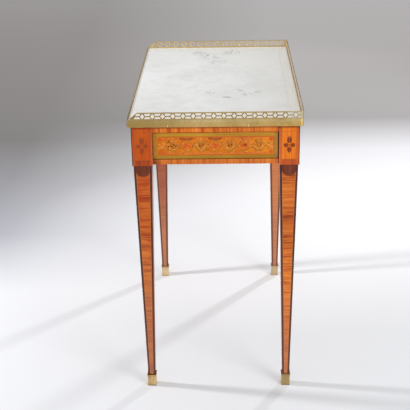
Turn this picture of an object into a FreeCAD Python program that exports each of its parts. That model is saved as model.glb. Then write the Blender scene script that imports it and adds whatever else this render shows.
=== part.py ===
import FreeCAD
import Part
import math
import os

# Writing table with a marble top, a pierced gallery on three sides and a drawer in its right-hand end.
# Millimetres. The origin is on the floor under the middle of the table, +Z is up.
# The sitter's side (front) faces -X, the drawer end (right) faces -Y.

# Carcass, measured over the leg heads
carcass_width = 400.0
carcass_length = 700.0
carcass_height = 721.0

# Legs: a square head between the aprons and a tapered shaft below it
leg_head = 49.0
head_drop = 2.0
shaft_top = 44.0
shaft_foot = 17.0
stringing_width = 5.0

# Brass shoes on the feet
shoe_height = 34.5
shoe_sole = 2.0
shoe_wall = 1.3
shoe_flare = 2.4
collar_height = 4.5
collar_reach = 2.6
collar_edge = 1.0

# Aprons, and the two rails above and below the drawer
apron_height = 97.0
apron_thickness = 20.0
apron_setback = 4.5
rail_top_height = 17.0
rail_bottom_height = 12.3
tenon_thickness = 8.0
tenon_shoulder = 3.0
tenon_wall = 6.0
mortise_gap = 1.0

# Framed marquetry panels on the drawer front and on the aprons
panel_gap = 3.0
panel_gap_above = 1.0
panel_gap_below = 2.5
frame_width = 8.5
frame_thickness = 3.0
frame_edge = 0.6
panel_thickness = 2.0

# Top: wooden board, marble slab and the brass band around both
top_overhang = 9.0
board_thickness = 7.5
marble_thickness = 9.0
marble_joint = 1.0
band_lip = 2.5
band_thickness = 3.0
band_inner_radius = 5.0
band_edge = 0.8

# Pierced gallery standing on the band
gallery_height = 17.5
gallery_thickness = 2.0
gallery_inset = 0.5
gallery_pitch = 24.0
gallery_foot_rail = 1.6
gallery_top_rail = 2.6
gallery_strand = 2.2
gallery_shoulder = 4.4
gallery_post = 0.8
gallery_bar = 2.0
diamond_width = 10.8
slot_bulge = 0.5
ramp_length = 18.0
ramp_toe = 3.0
ramp_web_foot = 10.5
ramp_web_head = 16.5

# Pins with upright oval heads that hold the band to the board
pin_spacing = 190.0
pin_shift = -17.0
pin_head_width = 2.4
pin_head_length = 7.0
pin_head_height = 1.1
pin_head_edge = 0.8
pin_shank = 1.6
pin_bite = 8.0
pin_clearance = 0.1

# Drawer box, dovetailed
drawer_front_thickness = 18.0
drawer_front_clearance = 0.8
drawer_room = 211.0
drawer_side = 9.0
drawer_side_inset = 0.5
drawer_side_drop = 2.0
drawer_back = 9.0
drawer_back_drop = 6.0
drawer_bottom = 5.0
groove_height = 6.0
groove_depth = 4.0
tail_pitch = 20.0
tail_pin = 7.0
tail_slope = 6.0
tail_lap = 5.0

# What the drawer runs in
running_clearance = 0.3
guide_clearance = 0.8
guide_height = 20.0
runner_lap = 6.0
runner_inset = 2.0
stop_length = 24.0
stop_height = 16.0
stop_clearance = 0.3
bearer_width = 50.0
block_length = 30.0

# Screws through the kickers into the top board
screw_end = 80.0
screw_per_side = 3
screw_shank = 3.6
screw_head = 7.2
screw_head_height = 2.4
screw_cover = 2.5
screw_clearance = 0.15

# Levels and half sizes that follow from the sizes above
half_width = carcass_width / 2
half_length = carcass_length / 2
apron_bottom = carcass_height - apron_height
head_bottom = apron_bottom - head_drop
opening_bottom = apron_bottom + rail_bottom_height
opening_top = carcass_height - rail_top_height
panel_low = opening_bottom + panel_gap_below
panel_high = opening_top - panel_gap_above
head_inner_x = half_width - leg_head
head_inner_y = half_length - leg_head
apron_inner_x = half_width - apron_setback - apron_thickness
apron_inner_y = half_length - apron_setback - apron_thickness
tenon_length = leg_head - apron_setback - (apron_thickness + tenon_thickness) / 2 - tenon_wall
board_top = carcass_height + board_thickness
marble_top = board_top + marble_thickness
band_top = marble_top + band_lip
band_radius = band_inner_radius + band_thickness
gallery_radius = band_radius - gallery_inset
ramp_web_middle = (ramp_web_foot + ramp_web_head) / 2
drawer_half = head_inner_x - panel_gap - drawer_side_inset
side_low = opening_bottom + running_clearance
side_high = panel_high - drawer_side_drop
groove_low = side_low + groove_height
groove_high = groove_low + drawer_bottom
front_face = -half_length + apron_setback
front_back = front_face + drawer_front_thickness
drawer_end = apron_inner_y - drawer_room
guide_inner = drawer_half + guide_clearance
runner_inner = drawer_half - drawer_side - runner_lap

# Each side of the table: its turn from the drawer end, half its span and its distance from the middle
sides = {
    "right": (0, half_width, half_length),
    "back": (90, half_length, half_width),
    "left": (180, half_width, half_length),
    "front": (270, half_length, half_width),
}
legs = {
    "front_right": (-1, -1),
    "back_right": (1, -1),
    "front_left": (-1, 1),
    "back_left": (1, 1),
}
long_sides = {"front": -1, "back": 1}

up = FreeCAD.Vector(0, 0, 1)
middle = FreeCAD.Vector(0, 0, 0)


def point(x, y, z):
    return FreeCAD.Vector(x, y, z)


def box(x0, x1, y0, y1, z0, z1):
    low = point(min(x0, x1), min(y0, y1), min(z0, z1))
    return Part.makeBox(abs(x1 - x0), abs(y1 - y0), abs(z1 - z0), low)


def polygon_wire(points):
    return Part.makePolygon(points + points[:1])


def prism(points, along):
    return Part.Face(polygon_wire(points)).extrude(along)


def turned(shape, angle):
    copy = shape.copy()
    copy.rotate(middle, up, angle)
    return copy


def save(name, pieces):
    shape = pieces if isinstance(pieces, Part.Shape) else Part.makeCompound(pieces)
    shape.exportStep("parts/" + name + ".step")
    print(name, len(shape.Solids), "solids", round(shape.Volume / 1000, 1), "cm3")


# A four-sided bar through level squares, each given as its centre x, y, its height and its side
def square_taper(sections):
    wires = []
    for x, y, z, side in sections:
        half = side / 2
        corners = [(-half, -half), (half, -half), (half, half), (-half, half)]
        wires.append(polygon_wire([point(x + dx, y + dy, z) for dx, dy in corners]))
    return Part.makeLoft(wires, True, True)


# A plate with round corners, centred on the table
def rounded_plate(half_x, half_y, radius, z0, z1):
    plate = box(-half_x, half_x, -half_y, half_y, z0, z1)
    upright = [edge for edge in plate.Edges if abs(edge.tangentAt(edge.FirstParameter).z) > 0.5]
    return plate.makeFillet(radius, upright)


def shaft_side(z):
    rise = (z - shoe_sole) / (head_bottom - shoe_sole)
    return shaft_foot + (shaft_top - shaft_foot) * rise


# A rail facing -Y between two leg heads, with a tenon at each end, and the mortises it needs
def rail(half_span, distance, z_low, z_high):
    outer = -distance + apron_setback
    inner = outer + apron_thickness
    reach = half_span - leg_head
    cheek = (outer + inner - tenon_thickness) / 2
    body = box(-reach, reach, outer, inner, z_low, z_high)
    mortises = []
    for end in (-1, 1):
        across = (cheek, cheek + tenon_thickness, z_low + tenon_shoulder, z_high - tenon_shoulder)
        body = body.fuse(box(end * reach, end * (reach + tenon_length), *across))
        mortises.append(box(end * reach, end * (reach + tenon_length + mortise_gap), *across))
    return body.removeSplitter(), mortises


# A mitred frame of four strips facing -Y, on a face at the given distance
def frame_strips(half_span, face):
    mid = (panel_low + panel_high) / 2
    half_height = (panel_high - panel_low) / 2
    strips = []
    for turn, half, reach in ((0, half_span, half_height), (90, half_height, half_span),
                              (180, half_span, half_height), (270, half_height, half_span)):
        section = [
            point(-half, face, -reach),
            point(-half, face - frame_thickness + frame_edge, -reach),
            point(-half, face - frame_thickness, -reach + frame_edge),
            point(-half, face - frame_thickness, -reach + frame_width - frame_edge),
            point(-half, face - frame_thickness + frame_edge, -reach + frame_width),
            point(-half, face, -reach + frame_width),
        ]
        bar = prism(section, point(2 * half, 0, 0))
        mitre = prism([
            point(-half, face, -reach),
            point(half, face, -reach),
            point(half - frame_width, face, -reach + frame_width),
            point(-half + frame_width, face, -reach + frame_width),
        ], point(0, -frame_thickness, 0))
        strip = bar.common(mitre)
        strip.rotate(point(0, face, 0), point(0, 1, 0), turn)
        strip.translate(point(0, 0, mid))
        strips.append(strip.Solids[0])
    return strips


def marquetry_panel(half_span, face):
    inner = half_span - frame_width
    low = panel_low + frame_width
    high = panel_high - frame_width
    return box(-inner, inner, face - panel_thickness, face, low, high)


# Section of the band in the plane across it, outer face towards +u
def band_section(at, u):
    rise = band_top - carcass_height
    outline = [
        (0, 0), (band_thickness - band_edge, 0), (band_thickness, band_edge),
        (band_thickness, rise - band_edge), (band_thickness - band_edge, rise), (0, rise),
    ]
    return [at + u * out + up * lift for out, lift in outline]


# Centres of the pins along a straight stretch, off its middle by the shift
def pin_places(half_straight):
    count = max(2, int(2 * half_straight // pin_spacing))
    return [(i - (count - 1) / 2) * pin_spacing + pin_shift for i in range(count)]


# A pin driven towards +Y, its oval head against the face at the given distance
def band_pin(x, face, z, extra):
    length = band_thickness + pin_bite + extra
    shank = Part.makeCylinder(pin_shank / 2 + extra, length, point(x, face, z), point(0, 1, 0))
    if extra:
        return shank
    half = pin_head_width / 2
    high = z + pin_head_length / 2 - half
    low = z - pin_head_length / 2 + half
    a = point(x - half, face, low)
    b = point(x - half, face, high)
    c = point(x + half, face, high)
    d = point(x + half, face, low)
    outline = Part.Wire([
        Part.LineSegment(a, b).toShape(), Part.Arc(b, point(x, face, high + half), c).toShape(),
        Part.LineSegment(c, d).toShape(), Part.Arc(d, point(x, face, low - half), a).toShape(),
    ])
    head = Part.Face(outline).extrude(point(0, -pin_head_height, 0))
    crown = [edge for edge in head.Edges if edge.BoundBox.YMax < face - pin_head_height / 2]
    return shank.fuse(head.makeFillet(pin_head_edge, crown)).removeSplitter()


# A bowl-shaped slot of the gallery, from its straight edge at z0 to its narrow side at z1
def slot_wire(x_left, x_right, narrow_left, narrow_right, y, z0, z1):
    z_mid = (z0 + z1) / 2
    drop = math.copysign(slot_bulge, z1 - z0)
    a = point(x_left, y, z0)
    b = point(x_right, y, z0)
    c = point(narrow_right, y, z1)
    d = point(narrow_left, y, z1)
    edges = [Part.LineSegment(a, b).toShape()]
    if narrow_right < x_right:
        bend = point((x_right + narrow_right) / 2 + slot_bulge, y, z_mid + drop)
        edges.append(Part.Arc(b, bend, c).toShape())
    else:
        edges.append(Part.LineSegment(b, c).toShape())
    edges.append(Part.LineSegment(c, d).toShape())
    if narrow_left > x_left:
        bend = point((x_left + narrow_left) / 2 - slot_bulge, y, z_mid + drop)
        edges.append(Part.Arc(d, bend, a).toShape())
    else:
        edges.append(Part.LineSegment(d, a).toShape())
    return Part.Wire(edges)


# A flat pierced run facing -Y from x0 to x1, with a sloping end on the side that ramp names (-1, 0 or 1)
def gallery_run(x0, x1, distance, ramp):
    y = -distance + gallery_inset
    foot = band_top
    head = band_top + gallery_height
    window_low = foot + gallery_foot_rail
    window_high = head - gallery_top_rail
    window_mid = (window_low + window_high) / 2
    first = x0 + (ramp_length if ramp < 0 else 0)
    last = x1 - (ramp_length if ramp > 0 else 0)
    outline = [point(x0, y, foot), point(x1, y, foot)]
    outline += [point(x1, y, foot + ramp_toe), point(last, y, head)] if ramp > 0 else [point(x1, y, head)]
    outline += [point(first, y, head), point(x0, y, foot + ramp_toe)] if ramp < 0 else [point(x0, y, head)]
    holes = []
    count = int((last - first) // gallery_pitch)
    margin = (last - first - count * gallery_pitch) / 2 + gallery_post
    for i in range(count):
        x = (first + last) / 2 + (i - (count - 1) / 2) * gallery_pitch
        holes.append(polygon_wire([
            point(x - diamond_width / 2, y, window_mid),
            point(x, y, window_low),
            point(x + diamond_width / 2, y, window_mid),
            point(x, y, window_high),
        ]))
    for i in range(count + 1):
        x = (first + last) / 2 + (i - count / 2) * gallery_pitch
        wide = gallery_pitch / 2 - gallery_shoulder
        narrow = (gallery_pitch - diamond_width) / 2 - gallery_strand
        for edge, up_or_down, web in ((window_high, 1, ramp_web_head), (window_low, -1, ramp_web_foot)):
            bar = window_mid + up_or_down * gallery_bar / 2
            left, narrow_left = x - wide, x - narrow
            right, narrow_right = x + wide, x + narrow
            if i == 0:
                left = x0 + web if ramp < 0 else first + margin
                narrow_left = x0 + ramp_web_middle if ramp < 0 else left
            if i == count:
                right = x1 - web if ramp > 0 else last - margin
                narrow_right = x1 - ramp_web_middle if ramp > 0 else right
            holes.append(slot_wire(left, right, narrow_left, narrow_right, y, edge, bar))
    face = Part.Face([polygon_wire(outline)] + holes)
    face.validate()
    return face.extrude(point(0, gallery_thickness, 0))


# Dovetails on the end of a drawer side, spread between two heights
def tails(x0, x1, shoulder, end, z_low, z_high):
    count = max(1, int((z_high - z_low) // tail_pitch))
    pitch = (z_high - z_low) / count
    half_end = (pitch - tail_pin) / 2
    half_root = half_end - abs(end - shoulder) / tail_slope
    pieces = []
    for i in range(count):
        z = z_low + (i + 0.5) * pitch
        pieces.append(prism([
            point(x0, shoulder, z - half_root),
            point(x0, end, z - half_end),
            point(x0, end, z + half_end),
            point(x0, shoulder, z + half_root),
        ], point(x1 - x0, 0, 0)))
    return pieces


# A countersunk screw pointing up, its head in the underside of the kicker
def top_screw(x, y, extra):
    outline = [
        (0, opening_top), (screw_head / 2 + extra, opening_top),
        (screw_shank / 2 + extra, opening_top + screw_head_height),
        (screw_shank / 2 + extra, board_top - screw_cover + extra), (0, board_top - screw_cover + extra),
    ]
    half_section = Part.Face(polygon_wire([point(x + out, y, z) for out, z in outline]))
    return half_section.revolve(point(x, y, 0), up, 360)


# A board along one long side, notched around the leg heads, built on the back
def notched_board(inner, z_low, z_high):
    board = box(inner, apron_inner_x, -apron_inner_y, apron_inner_y, z_low, z_high)
    for end in (-1, 1):
        head = box(head_inner_x, half_width, end * head_inner_y, end * half_length, z_low, z_high)
        board = board.cut(head)
    return board


os.makedirs("parts", exist_ok=True)

# Aprons and drawer rails
rails = {
    "apron_front": ("front", apron_bottom, carcass_height),
    "apron_back": ("back", apron_bottom, carcass_height),
    "apron_left": ("left", apron_bottom, carcass_height),
    "drawer_rail_top": ("right", opening_top, carcass_height),
    "drawer_rail_bottom": ("right", apron_bottom, opening_bottom),
}
all_mortises = []
for name, (side, z_low, z_high) in rails.items():
    turn, half_span, distance = sides[side]
    body, mortises = rail(half_span, distance, z_low, z_high)
    all_mortises += [turned(mortise, turn) for mortise in mortises]
    save(name, turned(body, turn))

# Legs with their corner stringing and brass shoes
collar_bottom = shoe_height - collar_height
foot_reach = (shaft_foot - stringing_width) / 2
top_reach = (shaft_top - stringing_width) / 2
for name, (side_x, side_y) in legs.items():
    x = side_x * (half_width - leg_head / 2)
    y = side_y * (half_length - leg_head / 2)
    half = leg_head / 2
    head = box(x - half, x + half, y - half, y + half, head_bottom, carcass_height)
    shaft = square_taper([(x, y, shoe_sole, shaft_foot), (x, y, head_bottom, shaft_top)])
    strings = []
    for corner_x in (-1, 1):
        for corner_y in (-1, 1):
            strings.append(square_taper([
                (x + corner_x * foot_reach, y + corner_y * foot_reach, shoe_sole, stringing_width),
                (x + corner_x * top_reach, y + corner_y * top_reach, head_bottom, stringing_width),
            ]))
    leg = head.fuse(shaft).removeSplitter().cut(strings + all_mortises)
    save("leg_" + name, leg)
    save("stringing_" + name, strings)
    cup = square_taper([
        (x, y, 0, shaft_foot + 2 * shoe_flare),
        (x, y, collar_bottom, shaft_side(collar_bottom) + 2 * shoe_wall),
    ])
    collar_side = shaft_side(collar_bottom) + 2 * collar_reach
    collar = square_taper([
        (x, y, collar_bottom - collar_edge, collar_side - 2 * collar_edge),
        (x, y, collar_bottom, collar_side),
        (x, y, shoe_height - collar_edge, collar_side),
        (x, y, shoe_height, collar_side - 2 * collar_edge),
    ])
    save("shoe_" + name, cup.fuse(collar).removeSplitter().cut(shaft))

# Framed panels on the three aprons
for side in ("front", "back", "left"):
    turn, half_span, distance = sides[side]
    half_panel = half_span - leg_head - panel_gap
    face = -distance + apron_setback
    save("frame_" + side, [turned(strip, turn) for strip in frame_strips(half_panel, face)])
    save("marquetry_" + side, turned(marquetry_panel(half_panel, face), turn))

# Brass band in four straight strips and four round corners, with its pins
top_half_width = half_width + top_overhang
top_half_length = half_length + top_overhang
board_half_width = top_half_width - band_thickness
board_half_length = top_half_length - band_thickness
board = rounded_plate(board_half_width, board_half_length, band_inner_radius, carcass_height, board_top)
pin_height = carcass_height + board_thickness / 2
pins = []
for side, (turn, half_span, distance) in sides.items():
    straight = half_span + top_overhang - band_radius
    inner = -(distance + top_overhang) + band_thickness
    section = band_section(point(-straight, inner, carcass_height), point(0, -1, 0))
    strip = prism(section, point(2 * straight, 0, 0))
    for x in pin_places(straight):
        outer = inner - band_thickness
        pins.append(turned(band_pin(x, outer, pin_height, 0), turn))
        hole = band_pin(x, outer, pin_height, pin_clearance)
        strip = strip.cut(hole)
        board = board.cut(turned(hole, turn))
    save("band_" + side, turned(strip, turn))
corners = []
for side_x, side_y in legs.values():
    centre = point(side_x * (top_half_width - band_radius), side_y * (top_half_length - band_radius), 0)
    out = point(side_x, 0, 0)
    section = band_section(centre + out * band_inner_radius + up * carcass_height, out)
    corners.append(Part.Face(polygon_wire(section)).revolve(centre, up, 90 * side_x * side_y))
save("band_corners", corners)
save("band_pins", pins)

# Pierced gallery: both ends and the back, with two round corners at the back
post_low = band_top
post_high = band_top + gallery_height
for side, ramp in (("right", -1), ("back", 0), ("left", 1)):
    turn, half_span, distance = sides[side]
    straight = half_span + top_overhang - band_radius
    save("gallery_" + side, turned(gallery_run(-straight, straight, distance + top_overhang, ramp), turn))
posts = []
for side_y in (-1, 1):
    centre = point(top_half_width - band_radius, side_y * (top_half_length - band_radius), 0)
    near = centre.x + gallery_radius - gallery_thickness
    far = centre.x + gallery_radius
    section = Part.Face(polygon_wire([
        point(near, centre.y, post_low), point(far, centre.y, post_low),
        point(far, centre.y, post_high), point(near, centre.y, post_high),
    ]))
    posts.append(section.revolve(centre, up, 90 * side_y))
save("gallery_corners", posts)

# Marble slab, lying on the board inside the band
save("marble_top", rounded_plate(board_half_width - marble_joint, board_half_length - marble_joint,
                                 band_inner_radius - marble_joint, board_top, marble_top))

# Runners, guides and kickers along both long sides, with the screws that hold the board
runner = notched_board(runner_inner, opening_bottom - rail_bottom_height + runner_inset, opening_bottom)
guide_top = opening_bottom + guide_height
guide = box(guide_inner, apron_inner_x, -head_inner_y, head_inner_y, opening_bottom, guide_top)
kicker = notched_board(runner_inner, opening_top, carcass_height)
screw_x = (runner_inner + apron_inner_x) / 2
screws = []
for i in range(screw_per_side):
    y = (2 * i / (screw_per_side - 1) - 1) * (head_inner_y - screw_end)
    screws.append(top_screw(screw_x, y, 0))
    hole = top_screw(screw_x, y, screw_clearance)
    kicker = kicker.cut(hole)
    board = board.cut([hole, turned(hole, 180)])
save("top_board", board)
save("top_screws", screws + [turned(screw, 180) for screw in screws])
blocks = []
for side, turn in (("back", 0), ("front", 180)):
    save("runner_" + side, turned(runner, turn))
    save("guide_" + side, turned(guide, turn))
    save("kicker_" + side, turned(kicker, turn))
    for end in (-1, 1):
        block_start = head_inner_y - block_length
        ends = (end * block_start, end * head_inner_y)
        blocks.append(turned(box(guide_inner, apron_inner_x, *ends, guide_top, opening_top), turn))
save("glue_blocks", blocks)
half_bearer = bearer_width / 2
save("top_bearer", box(-runner_inner, runner_inner, -half_bearer, half_bearer, opening_top, carcass_height))
for side, sign in long_sides.items():
    stop_start = drawer_end + stop_clearance
    save("drawer_stop_" + side, box(sign * (drawer_half - drawer_side), sign * drawer_half, stop_start,
                                    stop_start + stop_length, opening_bottom, opening_bottom + stop_height))

# Drawer: a dovetailed box with the framed marquetry panel on its front
front_half = head_inner_x - panel_gap
side_inner = drawer_half - drawer_side
bottom = box(-side_inner - groove_depth, side_inner + groove_depth, front_back - groove_depth, drawer_end,
             groove_low, groove_high)
front_reach = head_inner_x - drawer_front_clearance
front = box(-front_reach, front_reach, front_face, front_back, panel_low, panel_high).cut(bottom)
back_start = drawer_end - drawer_back
back_high = side_high - drawer_back_drop
back = box(-drawer_half, drawer_half, back_start, drawer_end, groove_high, back_high)
for side, sign in long_sides.items():
    x0 = sign * side_inner
    x1 = sign * drawer_half
    front_tails = tails(x0, x1, front_back, front_face + tail_lap, panel_low, side_high)
    back_tails = tails(x0, x1, back_start, drawer_end, groove_high, back_high)
    board_side = box(x0, x1, front_back, back_start, side_low, side_high)
    board_side = board_side.fuse(front_tails + back_tails).removeSplitter().cut(bottom)
    save("drawer_side_" + side, board_side)
    front = front.cut(front_tails)
    back = back.cut(back_tails)
save("drawer_front", front)
save("drawer_back", back)
save("drawer_bottom", bottom)
save("drawer_frame", frame_strips(front_half, front_face))
save("drawer_marquetry", marquetry_panel(front_half, front_face))
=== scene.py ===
import bpy
import numpy as np
from mathutils import Matrix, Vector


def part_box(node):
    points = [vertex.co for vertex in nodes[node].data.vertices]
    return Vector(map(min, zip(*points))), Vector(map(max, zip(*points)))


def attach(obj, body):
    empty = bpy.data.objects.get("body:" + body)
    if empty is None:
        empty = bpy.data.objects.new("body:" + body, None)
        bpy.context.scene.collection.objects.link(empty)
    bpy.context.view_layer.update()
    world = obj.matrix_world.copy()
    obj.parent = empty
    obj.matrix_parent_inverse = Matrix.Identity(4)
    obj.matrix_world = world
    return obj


# Writing table with a marble top. Shapes are worked out in millimetres and put into the meshes in metres.
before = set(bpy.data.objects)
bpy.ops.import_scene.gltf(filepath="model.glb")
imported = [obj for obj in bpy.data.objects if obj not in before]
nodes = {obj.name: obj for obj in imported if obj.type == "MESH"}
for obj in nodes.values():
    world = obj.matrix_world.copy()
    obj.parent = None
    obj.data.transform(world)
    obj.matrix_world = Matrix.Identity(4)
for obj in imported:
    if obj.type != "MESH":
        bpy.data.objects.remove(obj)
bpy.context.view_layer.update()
mm = 0.001
chance = np.random.default_rng(11)  # small hand-cut differences between the inlays
print("frame:", len(nodes), "pieces from CAD")


# The four sides of the table: a direction to the right for someone who faces that side, and one that points at them
sideViews = {
    "right": np.array([(1.0, 0, 0), (0, -1, 0)]),
    "back": np.array([(0, 1.0, 0), (1, 0, 0)]),
    "left": np.array([(-1.0, 0, 0), (0, 1, 0)]),
    "front": np.array([(0, -1.0, 0), (-1, 0, 0)]),
}


# A point of a side: centre + u times right + v times up + depth times out
def onSide(side, centre, local):
    right, out = sideViews[side]
    u, v, depth = np.moveaxis(np.asarray(local), -1, 0)[..., None]
    return np.array(centre, float) + u * right + depth * out + v * np.array([0.0, 0.0, 1.0])


# Quads between the neighbours in a grid of point numbers
def gridCells(ids):
    return np.stack([ids[:-1, :-1], ids[1:, :-1], ids[1:, 1:], ids[:-1, 1:]], -1).reshape(-1, 4)


# Closed plates from grids of (u, v, depth): the face grid, the same grid sunk below it, and the rim between them
def plates(face, sunk):
    count, across, along = face.shape[:3]
    size = across * along
    ids = np.arange(size).reshape(across, along)
    cells = gridCells(ids)
    rim = np.concatenate([ids[:, 0], ids[-1, 1:], ids[-2::-1, -1], ids[0, -2:0:-1]])
    after = np.roll(rim, -1)
    walls = np.stack([rim + size, after + size, after, rim], -1)
    one = np.concatenate([cells, cells[:, ::-1] + size, walls])
    points = np.concatenate([face.reshape(count, size, 3), sunk.reshape(count, size, 3)], 1)
    quads = one[None] + 2 * size * np.arange(count)[:, None, None]
    return points.reshape(-1, 3), quads.reshape(-1, 4).tolist()


# Flat spindles: an ellipse, half width by lift, is carried along each path and shrinks to a point at both ends
def spindles(path, half, lift, around=6):
    count, steps = half.shape
    run = np.gradient(path, axis=1)
    run /= np.linalg.norm(run, axis=-1, keepdims=True)
    aside = np.stack([-run[..., 1], run[..., 0]], -1)
    turn = 2 * np.pi * np.arange(around) / around
    inner = path[:, 1:-1, None] + aside[:, 1:-1, None] * (half[:, 1:-1, None] * np.cos(turn))[..., None]
    height = np.broadcast_to(lift * np.sin(turn), inner.shape[:3])
    rings = np.concatenate([inner, height[..., None]], -1).reshape(count, -1, 3)
    tips = np.pad(path[:, [0, -1]], ((0, 0), (0, 0), (0, 1)))
    points = np.concatenate([rings, tips], 1)
    ids = np.arange((steps - 2) * around).reshape(steps - 2, around)
    turned = np.roll(ids, -1, 1)
    quads = np.stack([ids[:-1], turned[:-1], turned[1:], ids[1:]], -1).reshape(-1, 4)
    root, tip = ids.size, ids.size + 1
    ends = np.concatenate([
        np.stack([np.full(around, root), turned[0], ids[0]], -1),
        np.stack([np.full(around, tip), ids[-1], turned[-1]], -1),
    ])
    shift = points.shape[1] * np.arange(count)[:, None, None]
    return points.reshape(-1, 3), (quads + shift).reshape(-1, 4).tolist() + (ends + shift).reshape(-1, 3).tolist()


# Leaves and petals: rows of u, v, heading, length, half width, bend and skew.
# The path is straight plus bend times the square of the way along; the half width is a sine of the way along
# to the power of skew, so a skew above 1 puts the widest place nearer the tip, and the sine's own power, below 1,
# makes the leaf fuller.
def leaves(rows, lift, steps=7, full=0.65):
    u, v, heading, length, half, bend, skew = np.asarray(rows, float).T[..., None]
    way = np.linspace(0, 1, steps)
    ahead, off = length * way, bend * length * way ** 2
    cos, sin = np.cos(np.radians(heading)), np.sin(np.radians(heading))
    path = np.stack([u + ahead * cos - off * sin, v + ahead * sin + off * cos], -1)
    return spindles(path, half * np.clip(np.sin(np.pi * way ** skew), 0, 1) ** full, lift)


# A stem along given points, full width almost to its ends
def stem(u, v, half, lift):
    way = np.linspace(0, 1, len(u))
    taper = np.sin(np.pi * way) ** 0.3  # a low power keeps the width
    return spindles(np.stack([u, v], -1)[None], (half * taper)[None], lift)


# A mitred line along the edge of a rectangle: its section is carried round the four corners
def borderLine(halfU, low, high, width, lift, sunk):
    corners = np.array([(-1, -1), (1, -1), (1, 1), (-1, 1)], float)
    middle, half = np.array([0, (low + high) / 2]), np.array([halfU, (high - low) / 2])
    section = np.array([(0, -sunk), (0, lift), (width, lift), (width, -sunk)])
    flat = middle + corners[:, None] * (half - section[None, :, :1])
    points = np.concatenate([flat, np.broadcast_to(section[None, :, 1:], (4, 4, 1))], -1)
    ids = np.arange(16).reshape(4, 4)
    along, onward = np.roll(ids, -1, 0), np.roll(ids, -1, 1)
    quads = np.stack([ids, along, np.roll(along, -1, 1), onward], -1)
    return points.reshape(-1, 3), quads.reshape(-1, 4).tolist()


# One object from several shapes, each given as points in millimetres and faces
def addPiece(name, shapes, material, body):
    starts = np.cumsum([0] + [len(points) for points, _ in shapes])
    faces = [[start + i for i in face] for start, (_, group) in zip(starts, shapes) for face in group]
    mesh = bpy.data.meshes.new(name)
    mesh.from_pydata(np.concatenate([points for points, _ in shapes]) * mm, [], faces)
    mesh.materials.append(material)
    piece = bpy.data.objects.new(name, mesh)
    bpy.context.scene.collection.objects.link(piece)
    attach(piece, body)


# sRGB hex to the linear colour that a socket takes
def colour(text):
    part = np.array([int(text[i:i + 2], 16) for i in (1, 3, 5)]) / 255
    linear = np.where(part <= 0.04045, part / 12.92, ((part + 0.055) / 1.055) ** 2.4)
    return (*linear.tolist(), 1.0)


# Adds a node: settings are attributes or input values, "stops" fills a colour ramp, links join inputs to outputs
def addNode(tree, kind, settings=None, links=None):
    node = tree.nodes.new(kind)
    for key, value in (settings or {}).items():
        if key == "stops":
            ramp = node.color_ramp.elements
            while len(ramp) < len(value):
                ramp.new(0.5)
            for stop, (place, shade) in zip(ramp, value):
                stop.position = place
                stop.color = colour(shade) if isinstance(shade, str) else (shade, shade, shade, 1.0)
        elif isinstance(key, int) or key in node.inputs:
            node.inputs[key].default_value = value
        else:
            setattr(node, key, value)
    for key, socket in (links or {}).items():
        tree.links.new(socket, node.inputs[key])
    return node


# A material with an empty node tree, and that tree
def newMaterial(name):
    material = bpy.data.materials.new(name)
    material.use_nodes = True
    material.node_tree.nodes.clear()
    return material, material.node_tree


# Strength inside a ball round a point: full up to 0.3 of the reach, none beyond it. All in mm.
def nearness(tree, place, point, reach, strength):
    away = addNode(tree, "ShaderNodeVectorMath", {"operation": "DISTANCE", 1: tuple(np.array(point) * mm)},
                   {0: place.outputs["Object"]})
    return addNode(tree, "ShaderNodeMapRange", {1: reach * mm, 2: 0.3 * reach * mm, 3: 0.0, 4: strength},
                   {0: away.outputs["Value"]}).outputs[0]


# Ageing and painted light and shade by place: "fades" pull the colour towards another along an axis
# (axis, from, to, colour, amount), and spots round a point do the same (point, reach, colour, amount)
def agedAndPaintedLight(tree, place, tint, look):
    axes = addNode(tree, "ShaderNodeSeparateXYZ", None, {0: place.outputs["Object"]})
    pulls = []
    for axis, start, end, shade, amount in look.get("fades", []):
        ramp = addNode(tree, "ShaderNodeMapRange", {1: start * mm, 2: end * mm, 4: amount},
                       {0: axes.outputs[axis]})
        pulls.append((ramp.outputs[0], shade))
    for point, reach, shade, amount in look.get("stains", []):
        pulls.append((nearness(tree, place, point, reach, amount), shade))
    for factor, shade in pulls:
        mixed = addNode(tree, "ShaderNodeMix", {"data_type": "RGBA", 7: colour(shade)}, {0: factor, 6: tint})
        tint = mixed.outputs[2]
    return tint


# What a veneer has unless its own look says otherwise
veneerBase = {
    "rough": 0.3, "gloss": (-0.06, 0.1), "sheen": 0.22, "polish": 0.06, "coatRough": 0.2,  # gloss: change in grain
    "wave": 0.25, "broad": 0.45, "broadScale": 0.24,  # share of broad streaks, and their scale against the fine ones
    "cloud": 90, "patch": "#E6DED6", "bump": 0.12, "poreDepth": 0.0003,  # cloud in mm, pores in metres
    "leafShift": (0.37, 0.53, 0.71),  # each face has a leaf of its own, cut elsewhere from the log
}


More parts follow.
